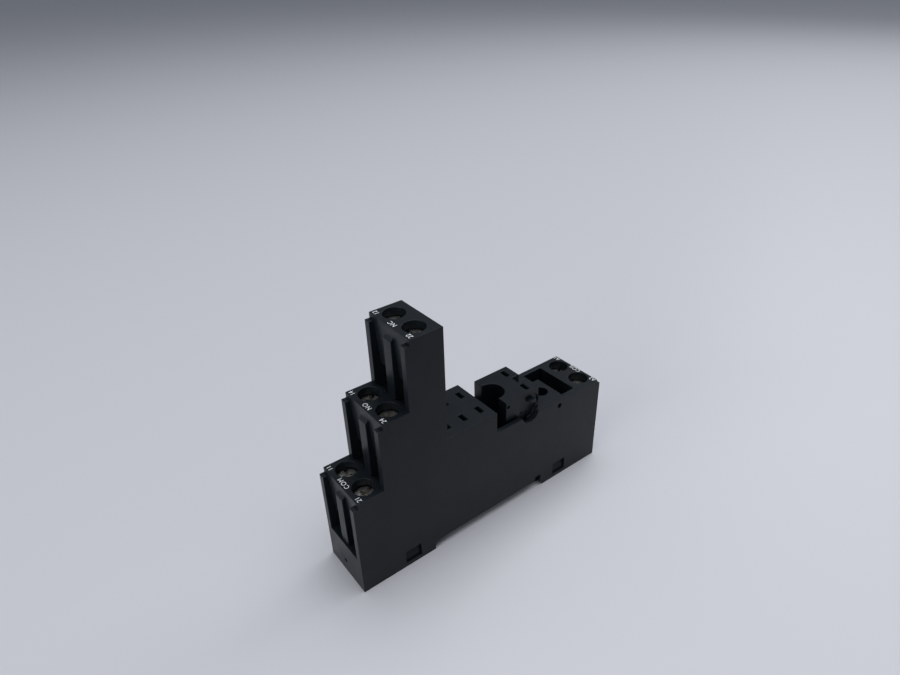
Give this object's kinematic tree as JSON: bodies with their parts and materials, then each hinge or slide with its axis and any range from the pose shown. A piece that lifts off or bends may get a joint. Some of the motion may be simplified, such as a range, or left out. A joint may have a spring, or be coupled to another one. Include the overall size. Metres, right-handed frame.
{
  "type": "relay socket",
  "caption": "Tiered screw-terminal socket that snaps on a 35 mm top-hat rail and takes a two-pole plug-in relay and a small module.",
  "frame": {"origin": "centre of the bounding box's bottom, on the plane of the two rail feet", "axes": "+X from the contact end to the coil end, +Y across the rail, +Z away from the rail"},
  "size_m": [0.0776, 0.0154, 0.0624],
  "materials": {
    "housing_plastic": "fine satin moulded texture",
    "foot_plastic": "satin moulded",
    "latch_plastic": "satin moulded",
    "screw_steel": "dull nickel plate",
    "cage_steel": "zinc plate",
    "strip_brass": "dull tin-washed brass",
    "spring_steel": "bright drawn wire"
  },
  "bodies": {
    "socket": {"housing": "housing_plastic", "base_plate": "foot_plastic", "latch_spring": "spring_steel", "strip_21": "strip_brass", "strip_11": "strip_brass", "strip_24": "strip_brass", "strip_14": "strip_brass", "strip_22": "strip_brass", "strip_12": "strip_brass", "strip_a2": "strip_brass", "strip_a1": "strip_brass"},
    "latch": {"rail_latch": "latch_plastic"},
    "screw_21": {"screw_21": "screw_steel"},
    "cage_21": {"cage_21": "cage_steel"},
    "screw_11": {"screw_11": "screw_steel"},
    "cage_11": {"cage_11": "cage_steel"},
    "screw_24": {"screw_24": "screw_steel"},
    "cage_24": {"cage_24": "cage_steel"},
    "screw_14": {"screw_14": "screw_steel"},
    "cage_14": {"cage_14": "cage_steel"},
    "screw_22": {"screw_22": "screw_steel"},
    "cage_22": {"cage_22": "cage_steel"},
    "screw_12": {"screw_12": "screw_steel"},
    "cage_12": {"cage_12": "cage_steel"},
    "screw_a2": {"screw_a2": "screw_steel"},
    "cage_a2": {"cage_a2": "cage_steel"},
    "screw_a1": {"screw_a1": "screw_steel"},
    "cage_a1": {"cage_a1": "cage_steel"}
  },
  "joints": [
    {"name": "latch_slide", "type": "slide", "parent": "socket", "child": "latch", "axis": [1, 0, 0], "range_m": [0, 0.0027], "stiffness_N_per_m": 1500, "springref_m": -0.0007, "deforming": ["latch_spring"]},
    {"name": "screw_21_turn", "type": "hinge", "parent": "socket", "child": "screw_21", "pos_m": [-0.03375, -0.00375, 0.0244], "axis": [0, 0, -1], "range_deg": [0, 2520]},
    {"name": "cage_21_lift", "type": "slide", "parent": "socket", "child": "cage_21", "axis": [0, 0, 1], "range_m": [0, 0.0035]},
    {"name": "screw_11_turn", "type": "hinge", "parent": "socket", "child": "screw_11", "pos_m": [-0.03375, 0.00375, 0.0244], "axis": [0, 0, -1], "range_deg": [0, 2520]},
    {"name": "cage_11_lift", "type": "slide", "parent": "socket", "child": "cage_11", "axis": [0, 0, 1], "range_m": [0, 0.0035]},
    {"name": "screw_24_turn", "type": "hinge", "parent": "socket", "child": "screw_24", "pos_m": [-0.02575, -0.00375, 0.0419], "axis": [0, 0, -1], "range_deg": [0, 2520]},
    {"name": "cage_24_lift", "type": "slide", "parent": "socket", "child": "cage_24", "axis": [0, 0, 1], "range_m": [0, 0.0035]},
    {"name": "screw_14_turn", "type": "hinge", "parent": "socket", "child": "screw_14", "pos_m": [-0.02575, 0.00375, 0.0419], "axis": [0, 0, -1], "range_deg": [0, 2520]},
    {"name": "cage_14_lift", "type": "slide", "parent": "socket", "child": "cage_14", "axis": [0, 0, 1], "range_m": [0, 0.0035]},
    {"name": "screw_22_turn", "type": "hinge", "parent": "socket", "child": "screw_22", "pos_m": [-0.01775, -0.00375, 0.0594], "axis": [0, 0, -1], "range_deg": [0, 2520]},
    {"name": "cage_22_lift", "type": "slide", "parent": "socket", "child": "cage_22", "axis": [0, 0, 1], "range_m": [0, 0.0035]},
    {"name": "screw_12_turn", "type": "hinge", "parent": "socket", "child": "screw_12", "pos_m": [-0.01775, 0.00375, 0.0594], "axis": [0, 0, -1], "range_deg": [0, 2520]},
    {"name": "cage_12_lift", "type": "slide", "parent": "socket", "child": "cage_12", "axis": [0, 0, 1], "range_m": [0, 0.0035]},
    {"name": "screw_a2_turn", "type": "hinge", "parent": "socket", "child": "screw_a2", "pos_m": [0.0343, -0.00375, 0.0236], "axis": [0, 0, -1], "range_deg": [0, 2520]},
    {"name": "cage_a2_lift", "type": "slide", "parent": "socket", "child": "cage_a2", "axis": [0, 0, 1], "range_m": [0, 0.0035]},
    {"name": "screw_a1_turn", "type": "hinge", "parent": "socket", "child": "screw_a1", "pos_m": [0.0343, 0.00375, 0.0236], "axis": [0, 0, -1], "range_deg": [0, 2520]},
    {"name": "cage_a1_lift", "type": "slide", "parent": "socket", "child": "cage_a1", "axis": [0, 0, 1], "range_m": [0, 0.0035]}
  ],
  "couplings": [
    {"joint": "screw_21_turn", "follows": "cage_21_lift", "rad_per_m": 12566},
    {"joint": "screw_11_turn", "follows": "cage_11_lift", "rad_per_m": 12566},
    {"joint": "screw_24_turn", "follows": "cage_24_lift", "rad_per_m": 12566},
    {"joint": "screw_14_turn", "follows": "cage_14_lift", "rad_per_m": 12566},
    {"joint": "screw_22_turn", "follows": "cage_22_lift", "rad_per_m": 12566},
    {"joint": "screw_12_turn", "follows": "cage_12_lift", "rad_per_m": 12566},
    {"joint": "screw_a2_turn", "follows": "cage_a2_lift", "rad_per_m": 12566},
    {"joint": "screw_a1_turn", "follows": "cage_a1_lift", "rad_per_m": 12566}
  ]
}
